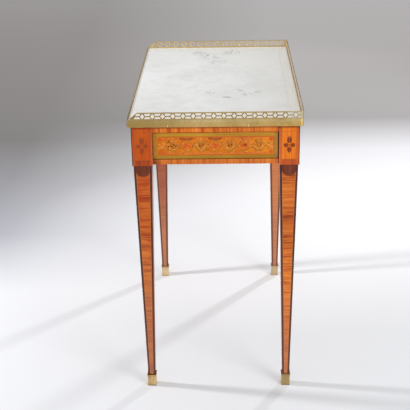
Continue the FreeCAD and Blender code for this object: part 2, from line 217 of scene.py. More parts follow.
# Veneer, scraped and French polished: streaks run along the grain, with a soft sheen from the polish.
# "across" and "along" are the streak's width and length in mm, "grain" the axis that the streaks follow.
# "upperLook" is a second wood, above its "from" height.
def veneer(name, look, upperLook=None):
    look = {**veneerBase, **look}
    material, tree = newMaterial(name)
    place = addNode(tree, "ShaderNodeTexCoord")

    def streakScale(kind):
        per = {axis: 1000 / (kind["along"] if axis == kind["grain"] else kind["across"]) for axis in "xyz"}
        if kind["grain"] == "level":
            per = {"x": 1000 / kind["along"], "y": 1000 / kind["along"], "z": 1000 / kind["across"]}
        return (per["x"], per["y"], per["z"])

    sheet = addNode(tree, "ShaderNodeVectorMath", {"operation": "MULTIPLY_ADD", 1: look["leafShift"]},
                    {0: place.outputs["Normal"], 2: place.outputs["Object"]})
    scale = streakScale(look)
    if upperLook:
        height = addNode(tree, "ShaderNodeSeparateXYZ", None, {0: place.outputs["Object"]})
        isUpper = addNode(tree, "ShaderNodeMath", {"operation": "GREATER_THAN", 1: upperLook["from"] * mm},
                          {0: height.outputs["Z"]})
        pick = addNode(tree, "ShaderNodeMix", {"data_type": "VECTOR", 4: scale, 5: streakScale(upperLook)},
                       {0: isUpper.outputs[0]})
        streaks = addNode(tree, "ShaderNodeVectorMath", {"operation": "MULTIPLY"},
                          {0: sheet.outputs[0], 1: pick.outputs[1]})
    else:
        streaks = addNode(tree, "ShaderNodeVectorMath", {"operation": "MULTIPLY", 1: scale}, {0: sheet.outputs[0]})
    fine = addNode(tree, "ShaderNodeTexNoise",
                   {"Scale": 1.0, "Detail": 4.0, "Roughness": 0.6, "Distortion": look["wave"]},
                   {"Vector": streaks.outputs[0]})
    broad = addNode(tree, "ShaderNodeTexNoise", {"Scale": look["broadScale"], "Detail": 2.0, "Roughness": 0.5},
                    {"Vector": streaks.outputs[0]})
    figure = addNode(tree, "ShaderNodeMix", {"data_type": "FLOAT", 0: look["broad"]},
                     {2: fine.outputs["Fac"], 3: broad.outputs["Fac"]})
    shade = addNode(tree, "ShaderNodeValToRGB", {"stops": look["stops"]}, {0: figure.outputs[0]})
    tint = shade.outputs[0]
    if upperLook:
        upperShade = addNode(tree, "ShaderNodeValToRGB", {"stops": upperLook["stops"]}, {0: figure.outputs[0]})
        either = addNode(tree, "ShaderNodeMix", {"data_type": "RGBA"},
                         {0: isUpper.outputs[0], 6: tint, 7: upperShade.outputs[0]})
        tint = either.outputs[2]
    cloud = addNode(tree, "ShaderNodeTexNoise", {"Scale": 1000 / look["cloud"], "Detail": 2.0},
                    {"Vector": sheet.outputs[0]})  # sun-bleached and darker patches
    patch = addNode(tree, "ShaderNodeValToRGB", {"stops": [(0.3, look["patch"]), (0.62, "#FFFFFF")]},
                    {0: cloud.outputs["Fac"]})
    tone = addNode(tree, "ShaderNodeMix", {"data_type": "RGBA", "blend_type": "MULTIPLY", 0: 1.0},
                   {6: tint, 7: patch.outputs[0]})
    smooth, coarse = (look["rough"] + change for change in look["gloss"])
    gloss = addNode(tree, "ShaderNodeMapRange", {"To Min": smooth, "To Max": coarse}, {0: fine.outputs["Fac"]})
    pores = addNode(tree, "ShaderNodeBump", {"Strength": look["bump"], "Distance": look["poreDepth"]},
                    {"Height": fine.outputs["Fac"]})
    shader = addNode(tree, "ShaderNodeBsdfPrincipled",
                     {"IOR": 1.5, "Specular IOR Level": look["sheen"], "Coat Weight": look["polish"],
                      "Coat Roughness": look["coatRough"]},
                     {"Base Color": agedAndPaintedLight(tree, place, tone.outputs[2], look), "Roughness": gloss.outputs[0],
                      "Normal": pores.outputs[0]})
    addNode(tree, "ShaderNodeOutputMaterial", None, {0: shader.outputs[0]})
    return material


paintedBandShadow = ("Z", 712.5, 717.5, "#5A2404", 0.75)  # painted shadow of the overhanging band: heads, rails and aprons darken just below it
redHead = ((-176, -350, 690), 320)  # round this head the polish has turned red
legLook = {"grain": "level", "across": 4.2, "along": 95, "broad": 0.32, "patch": "#E0CCB8", "cloud": 110,
           "wave": 0.9, "sheen": 0.18,
           "stops": [(0.34, "#7C300E"), (0.43, "#AC521E"), (0.5, "#D07028"), (0.57, "#E28434"),
                     (0.66, "#C46628")]}
legHead = {"from": 622, "grain": "z", "across": 4.0, "along": 120,
           "stops": [(0.3, "#C25810"), (0.45, "#DE7418"), (0.55, "#EA8420"), (0.7, "#F0922E")]}
lowFade = ("Z", 330, 40, "#AC7660", 0.55)  # bleached towards the foot
legVeneer = veneer(
    "tulipwood veneer on the legs, French polished",  # glowing orange with dark streaks across the shaft
    {**legLook, "fades": [lowFade, paintedBandShadow],
     "stains": [(*redHead, "#9C1800", 0.56), ((-176, -325, 130), 330, "#90604C", 0.35)]},
    legHead,
)
farLegVeneer = veneer(
    "tulipwood veneer on the far legs, French polished",  # the same, bleached on the sides that face the middle
    {**legLook, "fades": [lowFade, ("Y", 345, 318, "#B4806A", 0.52), paintedBandShadow],
     "stains": [((-176, 303, 390), 220, "#883630", 0.5), ((176, 303, 400), 220, "#D88440", 0.3)]},
    legHead,
)
railLook = {"grain": "z", "across": 3.4, "along": 120, "broad": 0.32,
            "stops": [(0.34, "#A84610"), (0.43, "#D0661A"), (0.52, "#E47E26"), (0.61, "#EE943E"),
                      (0.74, "#D06A1C")],
            "fades": [paintedBandShadow]}
apronVeneer = veneer("tulipwood veneer on the aprons, French polished", railLook)  # the same orange, upright grain
railVeneer = veneer(
    "tulipwood veneer on the drawer rails, French polished",  # darker low down and at the joint with the right leg, with a painted shadow of the left leg on the left ends
    {**railLook, "fades": [("Z", 640, 630, "#A8521E", 0.4), ("X", 149.2, 150.6, "#6A2404", 0.75),
                           ("X", -141, -150, "#8A3A0A", 0.55), paintedBandShadow],
     # painted shadow of the left leg, darkest at the lower rail's left end
     "stains": [((-146, -349, 629), 17, "#5A2408", 0.7)]},
)
frontVeneer = veneer(
    "tulipwood veneer on the drawer front, French polished",  # painted shade in the gap beside the frame on the right and below it, painted light in the gap on its left
    {**railLook, "fades": [("X", 147.8, 148.2, "#3A1A04", 0.92), ("X", -147.8, -148.2, "#B4702A", 0.5),
                           ("Z", 639.0, 638.6, "#4A2008", 0.85)]},
)
stringLook = {"grain": "z", "across": 1.6, "along": 90, "rough": 0.32,
              "stops": [(0.3, "#321410"), (0.5, "#4C2218"), (0.7, "#66321F")]}
lowBrown = ("Z", 560, 60, "#7A4834", 0.45)  # worn and browner towards the foot
amaranth = veneer(
    "amaranth stringing, scraped and polished",  # nearly black brown with a red heart
    {**stringLook, "fades": [lowBrown]},
)
farAmaranth = veneer(
    "amaranth stringing on the far legs, polished",  # the same, bleached on the sides that face the middle
    {**stringLook, "fades": [lowBrown, ("Y", 326, 319, "#7A4A38", 0.6)]},
)
capVeneer = veneer(
    "amaranth veneer on the shaft caps, polished",  # redder and a little paler than the stringing
    {"grain": "z", "across": 2.4, "along": 60,
     "stops": [(0.3, "#501E10"), (0.5, "#6E3018"), (0.7, "#86442A")]},
)
bandingLook = {"grain": "level", "across": 3.0, "along": 40}
redBanding = veneer(
    "tulipwood cross banding, polished",  # rose stripe beside the corners of the heads
    {**bandingLook, "stops": [(0.3, "#AC481A"), (0.5, "#C65E24"), (0.7, "#D27034")], "fades": [paintedBandShadow],
     "stains": [(*redHead, "#A02600", 0.45)]},
)
roseBanding = veneer(
    "tulipwood edge beside the drawer, polished",  # a pale rose stripe
    {**bandingLook, "stops": [(0.3, "#B85C2E"), (0.5, "#C86A3A"), (0.7, "#D27A48")], "fades": [paintedBandShadow]},
)
footBanding = veneer(
    "tulipwood banding below the flowers, polished",  # deep red with upright dark streaks
    {"grain": "z", "across": 5.0, "along": 40, "broad": 0.5,
     "stops": [(0.34, "#6E1E06"), (0.45, "#A03C10"), (0.55, "#BC521A"), (0.68, "#C8662E")],
     "stains": [((-176, -350, 630), 70, "#7A2006", 0.45)]},
)
rustLine = veneer(
    "bloodwood lines on the heads, polished",  # a thin red-brown line between two oranges
    {"grain": "z", "across": 2.0, "along": 60,
     "stops": [(0.3, "#98420E"), (0.5, "#AC5414"), (0.7, "#BC661E")]},
)
panelString = veneer(
    "tulipwood stringing round the marquetry, polished",  # a shade redder than the ground beside it
    {**bandingLook, "stops": [(0.3, "#B4540C"), (0.5, "#CA6614"), (0.7, "#D87820")]},
)
boxwood = veneer(
    "boxwood line, scraped and polished",  # thin pale yellow line
    {"grain": "z", "across": 2.0, "along": 60, "rough": 0.32,
     "stops": [(0.3, "#B46C2E"), (0.5, "#C67E40"), (0.7, "#D08E50")]},
)
oliveBanding = veneer(
    "green-stained sycamore banding, polished",  # faded green that has turned olive, satin sheen
    {"grain": "level", "across": 2.6, "along": 70,
     "stops": [(0.3, "#8E6412"), (0.45, "#B48420"), (0.58, "#C08E28"), (0.72, "#CE9C38")],
     # the second fade is painted light: the frame's top face, beside the dark gap under the rail, is made pale
     "fades": [("Z", 651, 640, "#6A5014", 0.5), ("Z", 702.4, 702.9, "#E8B458", 0.8),
               ("X", 138, 142, "#8E6238", 0.6), ("X", -138, -142, "#8A580E", 0.55)]},
)
panelGround = veneer(
    "satinwood marquetry ground, polished",  # warm yellow orange with a ripple
    {"grain": "level", "across": 7.0, "along": 30, "rough": 0.32, "broad": 0.4, "polish": 0.03, "sheen": 0.15,
     "stops": [(0.3, "#B85A06"), (0.44, "#CE6C0C"), (0.56, "#DA7812"), (0.7, "#E48A24")],
     # the first two fades are painted light: the ground darkens towards the left end and pales towards the right, as
     # lit from the right
     "fades": [("X", 60, -140, "#B05408", 0.3), ("X", 20, 140, "#F09C2C", 0.35),
               ("X", 126, 137, "#C8661C", 0.4)]},
)
oak = veneer(
    "oak drawer lining, planed and waxed",  # light brown with open pores
    {"grain": "y", "across": 3.0, "along": 160, "rough": 0.5, "polish": 0.05, "bump": 0.3,
     "stops": [(0.3, "#86603A"), (0.46, "#A67E50"), (0.6, "#B48C5C"), (0.75, "#9A7246")]},
)
pine = veneer(
    "pine carcass, planed",  # pale resinous wood with broad growth rings
    {"grain": "y", "across": 7.0, "along": 260, "rough": 0.6, "polish": 0.0, "bump": 0.3,
     "stops": [(0.3, "#9C6C38"), (0.46, "#BC8E56"), (0.62, "#CBA26C"), (0.75, "#B0804A")]},
)

petalLooks = {  # stained and natural veneers of the marquetry
    "red": ("red-stained holly petals, polished", [(0.3, "#BC4A10"), (0.5, "#D25A18"), (0.7, "#DE6C28")]),
    "rose": ("rose-stained holly petals, polished", [(0.3, "#C8641C"), (0.5, "#D8742A"), (0.7, "#E2863C")]),
    "rust": ("bloodwood petals, polished", [(0.3, "#94400A"), (0.5, "#A85010"), (0.7, "#B8601A")]),
    "dark": ("smoked boxwood buds, polished", [(0.3, "#541E04"), (0.5, "#722E06"), (0.7, "#8C420E")]),
    "olive": ("green-stained leaves, polished", [(0.3, "#985E08"), (0.5, "#AE7010"), (0.7, "#BE801A")]),
    "pale": ("holly leaves, polished", [(0.3, "#D27E26"), (0.5, "#DE8E36"), (0.7, "#E8A04C")]),
    "stem": ("walnut stems, polished", [(0.3, "#9A560A"), (0.5, "#AC6612"), (0.7, "#BC761E")]),
    "petal": ("rosewood petals on the heads, polished", [(0.3, "#6A2404"), (0.5, "#803006"), (0.7, "#923E0C")]),
    "heart": ("faded rosewood hearts, polished", [(0.3, "#90441C"), (0.5, "#A25226"), (0.7, "#B06032")]),
}
petalStains = {"petal": [((-176, -350, 671), 60, "#C05A1C", 0.26)]}  # one flower has faded
petalWood = {key: veneer(name, {"grain": "z", "across": 1.5, "along": 14, "stops": stops,
                                "stains": petalStains.get(key, [])})
             for key, (name, stops) in petalLooks.items()}


# What all the brass has: widths of the aged patches and the fine specks in mm, the depth of the dents in metres
brassBase = {"patch": 38, "speck": 5, "speckShare": 0.4, "gloss": (-0.08, 0.12), "dents": 0.12, "dentDepth": 0.0004}


# Old brass, cast or rolled, polished and lacquered: yellow metal with olive patches where the lacquer has aged
def oldBrass(name, look):
    look = {**brassBase, **look}
    material, tree = newMaterial(name)
    place = addNode(tree, "ShaderNodeTexCoord")
    patches, specks = (
        addNode(tree, "ShaderNodeTexNoise", {"Scale": 1000 / look[key], "Detail": 3.0, "Roughness": grit},
                {"Vector": place.outputs["Object"]})
        for key, grit in (("patch", 0.6), ("speck", 0.65)))
    mixed = addNode(tree, "ShaderNodeMix", {"data_type": "FLOAT", 0: look["speckShare"]},
                    {2: patches.outputs["Fac"], 3: specks.outputs["Fac"]})
    shade = addNode(tree, "ShaderNodeValToRGB", {"stops": look["stops"]}, {0: mixed.outputs[0]})
    base = shade.outputs[0]
    if "bands" in look:  # darker by height where polish and fingers don't reach, and on the shoes a painted contact shade near the floor
        height = addNode(tree, "ShaderNodeSeparateXYZ", None, {0: place.outputs["Object"]})
        low, high = look["bands"]["from"] * mm, look["bands"]["to"] * mm
        level = addNode(tree, "ShaderNodeMapRange", {1: low, 2: high}, {0: height.outputs["Z"]})
        grimeAndShade = addNode(tree, "ShaderNodeValToRGB", {"stops": look["bands"]["stops"]}, {0: level.outputs[0]})
        dirtyAndShaded = addNode(tree, "ShaderNodeMix", {"data_type": "RGBA", "blend_type": "MULTIPLY", 0: 1.0},
                        {6: base, 7: grimeAndShade.outputs[0]})
        base = dirtyAndShaded.outputs[2]
    smooth, coarse = (look["rough"] + change for change in look["gloss"])
    gloss = addNode(tree, "ShaderNodeMapRange", {"To Min": smooth, "To Max": coarse}, {0: specks.outputs["Fac"]})
    dents = addNode(tree, "ShaderNodeBump", {"Strength": look["dents"], "Distance": look["dentDepth"]},
                    {"Height": patches.outputs["Fac"]})
    shader = addNode(tree, "ShaderNodeBsdfPrincipled", {"Metallic": 1.0},
                     {"Base Color": agedAndPaintedLight(tree, place, base, look), "Roughness": gloss.outputs[0],
                      "Normal": dents.outputs[0]})
    addNode(tree, "ShaderNodeOutputMaterial", None, {0: shader.outputs[0]})
    return material


bandBrass = oldBrass(
    "rolled brass band, polished and lacquered",  # yellow, paler along its rubbed upper edge
    {"stops": [(0.32, "#BEA66C"), (0.5, "#D6BA80"), (0.68, "#E2C994")], "rough": 0.34,
     # painted reflection: the band darkens towards its left end, where it mirrors the darker left of the room
     "stains": [((-205, -359, 730), 160, "#A08446", 0.6)],
     "bands": {"from": 721, "to": 740, "stops": [(0.0, "#FFF2DA"), (0.5, "#FAEED4"), (0.75, "#FFFFFF")]}},
)
pinBrass = oldBrass(
    "brass pins, rubbed bright, with a painted glint",  # paler than the band round them: rubbed bright, and a painted highlight for the glint on each pin
    {"stops": [(0.3, "#DCCB9A"), (0.7, "#F0E4BC")], "rough": 0.3},
)
galleryBrass = oldBrass(
    "pierced brass gallery, dull",  # greyer than the band, dark in the piercings
    {"stops": [(0.32, "#C8B080"), (0.5, "#DCC492"), (0.68, "#E8D2A2")], "rough": 0.38,
     "bands": {"from": 740, "to": 757.5,
               "stops": [(0.0, "#FFF6E4"), (0.1, "#C6BA9C"), (0.84, "#BEB294"), (0.9, "#E6DCC4")]},
     "stains": [((208, -357, 746), 45, "#C8BC98", 0.6)], "fades": [("Y", -100, 340, "#D8C8A4", 0.7)]},
)
farGalleryBrass = oldBrass(
    "pierced brass gallery, rubbed",  # golden strands between two duller rails
    {"stops": [(0.32, "#D8B87A"), (0.5, "#E2C486"), (0.68, "#E8CE96")], "rough": 0.38,
     "fades": [("Z", 743.2, 741.4, "#CEC4AC", 1.0), ("Z", 754.4, 755.6, "#C1AE8A", 1.0)]},
)
backGalleryBrass = oldBrass(
    "pierced brass gallery, dull rails",  # pale inside, with a browner upper rail
    {"stops": [(0.32, "#D6C29C"), (0.5, "#E2D0AC"), (0.68, "#ECDCBC")], "rough": 0.38,
     "bands": {"from": 740, "to": 757.5,
               "stops": [(0.0, "#D8C8AC"), (0.12, "#FFFFFF"), (0.8, "#FFFFFF"), (0.88, "#B0A084")]},
     "fades": [("X", 207.6, 206.8, "#E8DFCC", 0.6)]},
)
shoeBrass = oldBrass(
    "cast brass shoes, polished",  # dark where the collar meets the wood, with a painted contact shade near the floor
    {"stops": [(0.34, "#A88C56"), (0.5, "#D4B47E"), (0.66, "#E8CE9A")], "rough": 0.34,
     "fades": [("X", -100, 150, "#988256", 0.5), ("Y", 100, 300, "#E8D2B8", 0.3)],
     "bands": {"from": 0, "to": 34.5,
               "stops": [(0.0, "#6E6448"), (0.1, "#FFFFFF"), (0.76, "#FFFFFF"), (0.81, "#D8CDB8"), (0.86, "#FFFFFF"),
                         (0.92, "#FFF6E8"), (0.94, "#8A6434"), (1.0, "#7C562A")]}},
)


# White marble, honed and waxed: cloudy white, thin grey veins and a few clusters of short grey flecks
def whiteMarble(name, look):
    material, tree = newMaterial(name)
    place = addNode(tree, "ShaderNodeTexCoord")
    noises = {"cloud": {"Detail": 6.0, "Roughness": 0.66}, "mottle": {"Detail": 6.0, "Roughness": 0.72},
              "vein": {"Detail": 5.0, "Distortion": 0.8}, "fleck": {"Detail": 3.0, "Distortion": 1.2}}
    clouds, mottle, drift, specks = (
        addNode(tree, "ShaderNodeTexNoise", {"Scale": 1000 / look[key], **settings},
                {"Vector": place.outputs["Object"]})
        for key, settings in noises.items())
    mixed = addNode(tree, "ShaderNodeMix", {"data_type": "FLOAT", 0: look["mottleShare"]},
                    {2: clouds.outputs["Fac"], 3: mottle.outputs["Fac"]})
    ground = addNode(tree, "ShaderNodeValToRGB", {"stops": look["ground"]}, {0: mixed.outputs[0]})
    thread = addNode(tree, "ShaderNodeValToRGB",
                     {"stops": [(0.47, 0.0), (0.495, look["veinShare"]), (0.505, look["veinShare"]), (0.53, 0.0)]},
                     {0: drift.outputs["Fac"]})
    veined = addNode(tree, "ShaderNodeMix", {"data_type": "RGBA", 7: colour(look["veinColour"])},
                     {0: thread.outputs[0], 6: ground.outputs[0]})
    dark = addNode(tree, "ShaderNodeValToRGB", {"stops": [(0.5, 0.0), (0.6, 1.0)]}, {0: specks.outputs["Fac"]})
    cover = None
    for x, y, reach, strength in look["clusters"]:  # each cluster fades with the distance from its middle
        near = nearness(tree, place, (x, y, look["level"]), reach, strength)
        if cover is not None:
            near = addNode(tree, "ShaderNodeMath", {"operation": "MAXIMUM"}, {0: cover, 1: near}).outputs[0]
        cover = near
    amount = addNode(tree, "ShaderNodeMath", {"operation": "MULTIPLY"}, {0: dark.outputs[0], 1: cover})
    flecked = addNode(tree, "ShaderNodeMix", {"data_type": "RGBA", 7: colour(look["fleckColour"])},
                      {0: amount.outputs[0], 6: veined.outputs[2]})
    smooth, coarse = look["rough"]
    gloss = addNode(tree, "ShaderNodeMapRange", {"To Min": smooth, "To Max": coarse}, {0: clouds.outputs["Fac"]})
    shader = addNode(tree, "ShaderNodeBsdfPrincipled", {"IOR": 1.49, "Specular IOR Level": look["sheen"]},
                     {"Base Color": agedAndPaintedLight(tree, place, flecked.outputs[2], look), "Roughness": gloss.outputs[0]})
    addNode(tree, "ShaderNodeOutputMaterial", None, {0: shader.outputs[0]})
    return material


marble = whiteMarble("white marble, honed and waxed", {
    "ground": [(0.36, "#DEDEDB"), (0.46, "#E6E6E4"), (0.52, "#EBEBE9"), (0.62, "#EFEFEE")],
    "rough": (0.5, 0.64), "sheen": 0.1,
    "cloud": 170, "mottle": 34, "vein": 110, "fleck": 13, "level": 737.5,  # widths and the slab's face, in mm
    "mottleShare": 0.4, "veinShare": 0.06, "veinColour": "#AFAFAB", "fleckColour": "#7A7B7E",
    "clusters": [(-10, -122, 20, 0.6), (28, -167, 20, 0.5), (61, -107, 22, 0.6), (79, -141, 20, 0.6),
                 (108, -125, 20, 0.6), (-49, 284, 32, 0.75), (40, 280, 34, 0.85), (2, 187, 30, 0.75),
                 (-20, 249, 42, 0.75), (51, 303, 32, 0.85)],  # x, y, reach, strength
    # the first two fades are painted shade: greyer towards the right and the back
    "fades": [("X", -40, 200, "#D3D1C8", 0.4), ("Y", 60, 340, "#D5D3CC", 0.4),
              ("Y", -270, -350, "#F7EED9", 0.75), ("Y", 310, 350, "#F5F1E5", 0.7),
              ("X", 173, 180, "#F5F2EB", 0.55)],  # the last three: painted light from the near gallery's brass, paler along the far gallery, and painted light that cancels the right gallery's shadow
})


# Plain steel, turned: dull grey with darker patches
def plainSteel(name):
    material, tree = newMaterial(name)
    place = addNode(tree, "ShaderNodeTexCoord")
    wear = addNode(tree, "ShaderNodeTexNoise", {"Scale": 1000 / 3, "Detail": 2.0},  # patches 3 mm wide
                   {"Vector": place.outputs["Object"]})
    shade = addNode(tree, "ShaderNodeValToRGB", {"stops": [(0.35, "#6E6E70"), (0.65, "#98989A")]},
                    {0: wear.outputs[0]})
    shader = addNode(tree, "ShaderNodeBsdfPrincipled", {"Metallic": 1.0, "Roughness": 0.4},
                     {"Base Color": shade.outputs[0]})
    addNode(tree, "ShaderNodeOutputMaterial", None, {0: shader.outputs[0]})
    return material


steel = plainSteel("steel screws, turned")
print("materials:", len(bpy.data.materials))

# Which CAD pieces get which finish, by the start of their names
finishes = {
    "leg_": legVeneer, "leg_front_left": farLegVeneer, "leg_back_left": farLegVeneer,
    "stringing_": amaranth, "stringing_front_left": farAmaranth, "stringing_back_left": farAmaranth,
    "shoe_": shoeBrass, "apron_": apronVeneer, "drawer_rail_": railVeneer,
    "frame_": oliveBanding, "drawer_frame": oliveBanding, "marquetry_": panelGround, "drawer_marquetry": panelGround,
    "band_": bandBrass, "band_pins": pinBrass, "gallery_": galleryBrass, "gallery_left": farGalleryBrass,
    "gallery_back": backGalleryBrass,
    "marble_top": marble, "top_screws": steel,
    "drawer_side_": oak, "drawer_back": oak, "drawer_bottom": oak, "drawer_front": frontVeneer,
    "top_board": pine, "runner_": pine, "guide_": pine, "kicker_": pine, "glue_blocks": pine, "top_bearer": pine,
    "drawer_stop_": pine,
}
for nodeName, node in nodes.items():
    start = max((key for key in finishes if nodeName.startswith(key)), key=len)
    for materialSlot in node.material_slots:
        materialSlot.material = finishes[start]


legs = {"middleX": 175.5, "middleY": 325.5, "head": 49.0, "headLow": 622.0, "headHigh": 721.0,
        "shaftTop": 44.0, "shaftFoot": 17.0, "sole": 2.0, "stringing": 5.0, "shoe": 34.5}
proud, sunk = 0.2, 0.4  # the inlays stand a hair above the veneer, as old ones do


# Half width of a shaft: a straight line from its foot to its top
def shaftHalf(height):
    rise = (height - legs["sole"]) / (legs["headLow"] - legs["sole"])
    return (legs["shaftFoot"] + (legs["shaftTop"] - legs["shaftFoot"]) * rise) / 2


legPlaces = [(sx * legs["middleX"], sy * legs["middleY"], 0) for sx in (-1, 1) for sy in (-1, 1)]


# The two sides of the table that a leg's head shows on
def headSides(place):
    return ["front" if place[0] < 0 else "back", "right" if place[1] < 0 else "left"]


# Strips on a flat or leaning face: each row is two edges in u at the bottom and at the top, then the two heights
def strips(rows, depth, lift=proud):
    rows = np.asarray(rows, float)
    u = np.stack([rows[:, [0, 2]], rows[:, [1, 3]]], 1)
    v = np.stack([rows[:, 4:6], rows[:, 4:6]], 1)
    flat = depth(v)
    return plates(np.stack([u, v, flat + lift], -1), np.stack([u, v, flat - sunk], -1))


capLook = {"band": 16.0, "drop": 13.0, "across": 17, "down": 5}
# Shaft cap: across runs from stringing to stringing as a sine, and the lower edge is a band plus half an ellipse
sweep = np.linspace(-np.pi / 2, np.pi / 2, capLook["across"])[:, None]
share = np.linspace(1, 0, capLook["down"])[None]
capV = legs["headLow"] - share * (capLook["band"] + capLook["drop"] * np.cos(sweep))
capU = np.sin(sweep) * (shaftHalf(capV) - legs["stringing"])
capFace = np.stack([capU, capV, shaftHalf(capV) + proud], -1)[None]
capSunk = np.stack([capU, capV, shaftHalf(capV) - sunk], -1)[None]
capPoints, capFaces = plates(capFace, capSunk)
caps = [(onSide(side, place, capPoints), capFaces) for place in legPlaces for side in sideViews]
addPiece("shaft_caps", caps, capVeneer, "table")

lineLook = {"width": 0.9, "lift": 0.12, "low": legs["shoe"] + 1, "high": 609.5}
low, high, width = lineLook["low"], lineLook["high"], lineLook["width"]
edgeLow, edgeHigh = shaftHalf(low) - legs["stringing"], shaftHalf(high) - legs["stringing"]
lineRows = [(edgeLow - width, edgeLow, edgeHigh - width, edgeHigh, low, high),
            (-edgeLow, -edgeLow + width, -edgeHigh, -edgeHigh + width, low, high)]
linePoints, lineFaces = strips(lineRows, shaftHalf, lineLook["lift"])
addPiece("shaft_lines", [(onSide(side, place, linePoints), lineFaces) for place in legPlaces for side in sideViews],
         boxwood, "table")

headLook = {"corner": 1.8, "banding": 5.0, "rose": 2.0, "line": 0.7, "upperLine": 706.0, "lowerLine": 636.4}
half, low, high = legs["head"] / 2, legs["headLow"], legs["headHigh"]
field = half - headLook["corner"] - headLook["banding"]


# The face of a head is upright, so its depth is the same at every height
def headFlat(v):
    return np.full_like(v, half)


# Row for a strip with upright edges
def upright(edge, other, bottom=low, top=high):
    left, right = sorted((edge, other))
    return (left, right, left, right, bottom, top)


# Strips of one head face. "outer" is 1 where the leg's free corner is on the right and -1 where it is on the left.
# Each piece has its rows, how far it stands proud, its wood and its slot.
def headRows(outer):
    thin, inner, rose = headLook["line"], outer * (half - headLook["corner"]), outer * (headLook["rose"] - half)
    levels = [(level - thin / 2, level + thin / 2) for level in (headLook["upperLine"], headLook["lowerLine"])]
    lines = [upright(side * field, side * (field - thin)) for side in (-1, 1)]
    lines += [upright(thin - field, field - thin, *level) for level in levels]
    return {
        "head_arris": ([upright(outer * half, inner)], 0.2, amaranth, "amaranth_stringing"),
        "head_banding": ([upright(inner, outer * field), upright(rose, -outer * field)], 0.15, redBanding,
                         "tulipwood_legs"),
        "head_edge": ([upright(-outer * half, rose)], 0.18, roseBanding, "tulipwood_legs"),
        "head_lines": (lines, 0.2, rustLine, "amaranth_stringing"),
        "head_foot": ([upright(thin - field, field - thin, low, levels[1][0])], 0.12, footBanding, "tulipwood_legs"),
    }


# Flower on each head: four lobes, each a pair of dark petals round a paler heart, over a short stem.
# Rows as for the leaves, measured from the middle of the flower; those off the middle line are mirrored.
flower = {"middle": 671.5, "rows": {
    "petal": [(0.6, 4.8, 55, 15.0, 2.6, 0.64, 1), (0.6, -4.6, -55, 12.0, 2.6, -0.62, 1),
              (3.4, 0.5, 36, 9.8, 2.5, -0.6, 1), (3.4, -0.5, -36, 9.8, 2.5, 0.6, 1)],
    "heart": [(0, 9.0, 90, 9.0, 0.9, 0, 1), (0, -7.5, -90, 6.0, 0.7, 0, 1), (6.8, 0, 0, 3.6, 0.7, 0, 1)],
    "rust": [(0, -13.5, -90, 10.5, 1.4, 0, 0.8), (0, -4.4, 90, 8.8, 2.2, 0, 1), (1.2, 0, 0, 3.6, 1.6, 0, 1),
             (3.0, 3.2, 45, 5.5, 1.3, 0, 1), (3.0, -3.2, -45, 5.5, 1.3, 0, 1)],
}}
flowerLifts = {"petal": 0.2, "heart": 0.24, "rust": 0.22}


# Rows off the middle line get a twin, with u, heading and bend turned round
def mirrored(rows):
    return rows + [(-u, v, 180 - heading, length, width, -bend, skew)
                   for u, v, heading, length, width, bend, skew in rows if u != 0]


headParts = {}
for place in legPlaces:
    for side in headSides(place):
        outer = np.sign(np.dot(place, sideViews[side][0]))
        for name, (rows, lift, material, slot) in headRows(outer).items():
            points, faces = strips(rows, headFlat, lift)
            headParts.setdefault(name, (material, slot, []))[2].append((onSide(side, place, points), faces))
        for key, rows in flower["rows"].items():
            points, faces = leaves(mirrored(rows), flowerLifts[key], steps=9)
            points = onSide(side, place, points + np.array([0, flower["middle"], half]))
            kept = headParts.setdefault("head_flower_" + key, (petalWood[key], "amaranth_stringing", []))
            kept[2].append((points, faces))
for name, (material, slot, shapes) in headParts.items():
    addPiece(name, shapes, material, "table")
print("legs: caps, lines, banding and flowers")


panel = {
    "pitch": 69.0, "string": 2.6, "stringLift": 0.12,  # all in mm
    "vine": 13.5, "vineHalf": 0.5, "vineFrom": 9.0, "leafStep": 6.0,  # height of the waves, half width
    "huskFrom": 10.0, "huskStep": 7.5, "endGap": 8.0,
    "branchFrom": 9.0, "branch": 13.0, "cornerLeaf": 11.0,  # place from the end, lengths
}
panelNodes = {"right": ("drawer_marquetry", "drawer"), "left": ("marquetry_left", "table"),
              "front": ("marquetry_front", "table"), "back": ("marquetry_back", "table")}


rosetteLook = {
    "half": (10.0, 7.5), "rings": [(9, 0.26, 0.76, 2.7), (7, 0.06, 0.5, 1.6)],
    "scorched": (20, 70, 120), "scorch": (4.6, 1.1),  # headings, then length and half width
}


# A rosette: two rings of petals, wider than tall, on an ellipse. A ring is the number of its petals, where they
# start and how long they are as shares of the ellipse, and their half width.
def rosette(u, v, outer, inner):
    wide, tall = rosetteLook["half"]
    rows = {"red": [], "rose": [], "rust": []}
    for shades, (count, start, length, width) in zip((outer, inner), rosetteLook["rings"]):
        angles = np.radians(np.arange(count) * 360 / count + chance.uniform(0, 360 / count))
        du, dv = wide * np.cos(angles), tall * np.sin(angles)
        headings, reaches = np.degrees(np.arctan2(dv, du)), np.hypot(du, dv)
        for i in range(count):
            rows[shades[i % len(shades)]].append((u + start * du[i], v + start * dv[i], headings[i],
                                                  length * reaches[i], width, 0.05, 1.2))
    for angle in rosetteLook["scorched"]:  # shading burnt into one side in hot sand
        rows["rust"].append((u + 0.5, v + 0.4, angle + chance.uniform(-12, 12), *rosetteLook["scorch"], 0.2, 1))
    return rows


sprigLook = {
    "nest": [(-15, 28, 17, 1.6, "olive"), (-11, 36, 17, 1.5, "pale"), (-7, 44, 16, 1.7, "olive"),
             (-2, 52, 14, 1.4, "rust"), (3, 58, 12, 1.5, "olive")],  # height, heading, length, half width, shade
    "blossoms": [(-7.5, 5), (6.5, 7), (0, 13), (8, -4)], "petals": 5, "petal": (2.7, 0.95),  # length, half width
    "buds": [(6, 1, 140), (-3, -3, 70), (4, -6, 40), (-8, -4, 110), (-5, 10, 160), (9, -3, 60)], "bud": (5.5, 2.1),
}


